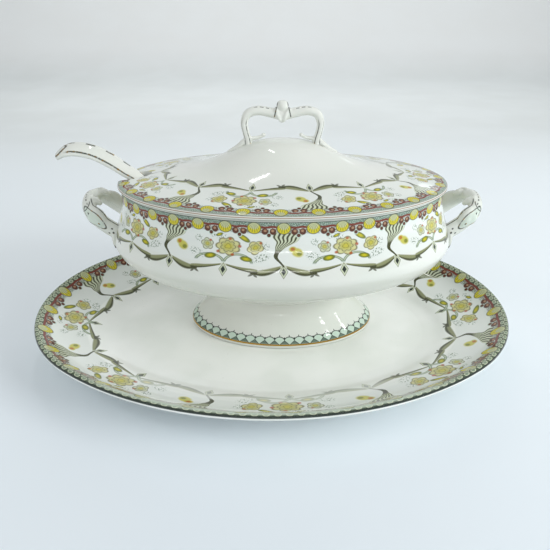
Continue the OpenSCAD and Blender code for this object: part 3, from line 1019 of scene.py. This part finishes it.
def side_handle_material(length):
    """Gilt lines along the strap's edges, a cartouche on each leg, and dashes over the crest."""
    net, u, v = glazed("handle_glaze")
    away = abs(u - length / 2)
    lines = net.band(abs(v), 0.42, 0.02, 0.02) * net.step(away, 14, 16)
    spot = net.point(away, v * HALF_ROUND)
    frame_line = net.band(net.blob(spot, 29, 0, 10.5, 3.8), 1.0, 0.06, 0.05)
    net.paint(MINT, net.inside(net.blob(spot, 29, 0, 10.1, 3.5), 1.0, 0.3) * 0.5)
    dots = net.low(net.blob(spot, 46, 0, 0.8, 0.8), net.blob(spot, 43.6, -2.2, 0.8, 0.6),
                   net.blob(spot, 43.6, 2.2, 0.8, 0.6), net.blob(spot, 34, 0, 0.9, 0.5),
                   net.blob(spot, 24, 0, 0.9, 0.5))
    crest = dash(net, away, 3.6, 0.5) * net.step(away, 20, 18) * net.band(abs(v), 0.2, 0.03, 0.03)
    leaf = net.band(net.blob(spot, 16, 0, 5, 5.5), 1.0, 0.06, 0.05) * net.step(away, 16, 18)
    mask = net.high(lines, frame_line, net.inside(dots, 1.0, 0.2), crest, leaf)
    worn_and_shaded_gilt(net, u, v, mask, 0.25)
    return net.done()


def lid_handle_material(length):
    """Dark lines down the legs, gilt painted dark as painted shade and painted reflection, dashes
    along the top of the bar, and a line each side of the bud."""
    net, u, v = glazed("lid_handle_glaze")
    away = abs(u - length / 2)
    # Two dark lines down each side of the legs: gilt painted dark, as painted shade and painted
    # reflection.
    legs = net.low(abs(abs(v) - 0.36) * 40, abs(abs(v) - 0.68) * 60)
    legs = net.inside(legs, 1.2, 0.6) * net.step(away, 30, 36)
    collar = net.band(away, 6.0, 0.4, 0.25) * net.step(abs(v), 0.25, 0.35)
    top = dash(net, away, 4.2, 0.6) * net.band(abs(v), 0.8, 0.035, 0.03) * net.step(away, 9, 10)
    mask = net.high(legs, collar, top * net.step(away, 24, 20))
    worn_and_shaded_gilt(net, u, v, mask, 0.1)
    return net.done()


def ladle_material(length):
    """A gilt line along the near edge of the ladle's handle, dashes along the far one, and a
    leaf outlined at its tip."""
    net, u, v = glazed("ladle_glaze")
    from_tip = length - u
    line = net.band(v, -0.4, 0.022, 0.02) * net.step(from_tip, 8, 14)
    broken = dash(net, u, 15.0, 0.45) * net.band(v, 0.3, 0.05, 0.03) * net.step(from_tip, 10, 12)
    spot = net.point(from_tip, v * HALF_ROUND)
    tip = net.low(net.blob(spot, 2, 0, 9, 6), net.blob(spot, 3, 2, 4, 4))
    mask = net.high(line, broken, net.band(tip, 1.0, 0.1, 0.08)) * net.step(u, 2, 6)
    worn_and_shaded_gilt(net, u, v, mask, 0.35)
    return net.done()


def worn_and_shaded_gilt(net, u, v, mask, kept):
    """A dark line with what is left of its gilding; kept is the share of it. The dark is wear on the
    side handles and the ladle, and painted shade and painted reflection on the lid handle's legs.
    """
    wear = net.noise(net.point(u, v * HALF_ROUND), 0.45, 2.0)
    net.paint(DARK, mask * (net.step(wear, 0.3, 0.45) * 0.6 + 0.4))
    gild(net, mask * net.step(wear, 0.68 - kept * 0.4, 0.78 - kept * 0.4))


# ---- put together ----

def place(obj, body, nodes, slot, material):
    obj.data.materials.clear()
    obj.data.materials.append(material)
    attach(obj, body)
    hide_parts(*nodes)


stand, stand_total = build_stand()
place(stand, "stand", ["stand_dish"], "stand_glaze", stand_material(stand_total))
bowl, bowl_total = build_bowl()
place(bowl, "tureen", ["tureen_bowl"], "bowl_glaze", bowl_material(bowl_total))
foot, foot_total = build_foot()
place(foot, "tureen", ["tureen_foot"], "bowl_glaze", foot_material(foot_total))
handle_left, _ = build_side_handle("handle_left_glazed", -1)
handle_right, strap_length = build_side_handle("handle_right_glazed", 1)
handle_glaze = side_handle_material(strap_length)
place(handle_left, "tureen", ["handle_left"], "handle_glaze", handle_glaze)
place(handle_right, "tureen", ["handle_right"], "handle_glaze", handle_glaze)
lid, lid_total = build_lid()
place(lid, "lid", ["lid_dome"], "lid_glaze", lid_material(lid_total))
knob, loop_length = build_lid_handle()
place(knob, "lid", ["lid_handle"], "handle_glaze", lid_handle_material(loop_length))
ladle, shank_length = build_ladle()
place(ladle, "ladle", ["ladle_bowl", "ladle_handle"], "ladle_glaze", ladle_material(shank_length))


# ---- camera, floor and light ----

def build_camera():
    """The photo's camera, as fitted to the outlines of the stand, the lid and the belly."""
    data = bpy.data.cameras.new("camera")
    data.lens, data.sensor_width = 33.8, 36
    data.clip_start, data.clip_end = 0.01, 50
    camera = bpy.data.objects.new("camera", data)
    scene.collection.objects.link(camera)
    camera.location = (0.0028, -0.4034, 0.2529)
    camera.rotation_euler = (math.radians(90) - 0.452, 0, 0)
    scene.camera = camera


def build_floor():
    """A pale floor that sweeps up into a backdrop behind the tureen."""
    line = smooth([[-3, 0], [0, 0], [1.2, 0], [2.2, 0.15], [2.8, 0.9], [3, 2.4], [3, 4]], 8)
    verts = [(x / MM, y / MM, z / MM) for y, z in line for x in (-5, 5)]
    faces = [(2 * i, 2 * i + 1, 2 * i + 3, 2 * i + 2) for i in range(len(line) - 1)]
    floor = make_object("floor", verts, faces)
    net = Net("floor")
    net.shader.inputs["Roughness"].default_value = 0.75
    where = net.node("ShaderNodeTexCoord").outputs["Object"]
    far = net.split(where)[1]
    net.colour = ink("e7eff5")
    net.paint(ink("eff6fa"), net.step(far, -0.2, 0.25))
    net.paint(ink("d3d8d8"), net.step(far, 0.4, 1.2))
    net.paint(ink("e5e8e8"), net.step(far, 1.85, 2.25))
    net.paint(ink("ecf2f5"), net.step(net.noise(where, 6.0, 2.0), 0.3, 0.7) * 0.15)
    floor.data.materials.append(net.done())


def area_light(name, place_at, target, size, power, colour=(1, 1, 1), shine=True):
    data = bpy.data.lights.new(name, "AREA")
    data.shape, data.size, data.size_y = "RECTANGLE", size[0], size[1]
    data.energy, data.color = power, colour
    light = bpy.data.objects.new(name, data)
    scene.collection.objects.link(light)
    light.location = place_at
    light.visible_glossy = shine
    ahead = Vector(target) - Vector(place_at)
    light.rotation_mode = "QUATERNION"
    light.rotation_quaternion = ahead.to_track_quat("-Z", "Y")


def build_light():
    """Soft lights that the glaze doesn't mirror, and small ones for the photo's highlights."""
    world = bpy.data.worlds.new("studio")
    world.use_nodes = True
    world.node_tree.nodes["Background"].inputs["Color"].default_value = (0.97, 0.99, 1, 1)
    world.node_tree.nodes["Background"].inputs["Strength"].default_value = 0.43
    scene.world = world
    aim = (MID.x * MM, MID.y * MM, 0.05)
    for name, place_at, size, power in (
            ("key", (-0.35, -0.75, 1.25), (0.9, 0.7), 1.4),
            ("window", (1.5, -0.2, 1.2), (1.2, 1.2), 4.6),
            ("low_left", (-1.5, -0.5, 0.4), (0.8, 0.5), 4.4),
            ("behind", (0, 1.6, 1.0), (2.0, 0.8), 6.8)):
        area_light(name, place_at, aim, size, power, shine=False)
    area_light("low_right", (1.4, -0.7, 0.75), aim, (0.8, 0.5), 16, (0.96, 0.99, 1), shine=False)
    area_light("backdrop", (0, 1.2, 1.6), (0, 3, 0.8), (3.4, 1.0), 19, shine=False)
    area_light("lamp", (-0.17, 0.63, 1.36), (-0.008, -0.031, 0.151), (0.03, 0.39), 0.7)
    area_light("glare", (0.62, 1.2, 0.61), (0.11, -0.034, 0.141), (0.1, 0.13), 0.05, (0.9, 0.97, 1))
    area_light("strip", (-0.03, -1.5, 0.2), (0, -0.08, 0.108), (0.9, 0.014), 0.7)
    area_light("tube_left", (-0.62, -0.5, 0.95), aim, (0.24, 0.03), 0.4)
    area_light("tube_right", (0.93, -0.72, 0.89), (0.04, -0.03, 0.026), (0.09, 0.025), 0.25)
    area_light("tube_side", (1.23, -0.25, 0.82), (0.06, -0.02, 0.02), (0.06, 0.025), 0.2)
    scene.view_settings.view_transform = "Standard"


build_camera()
build_floor()
build_light()
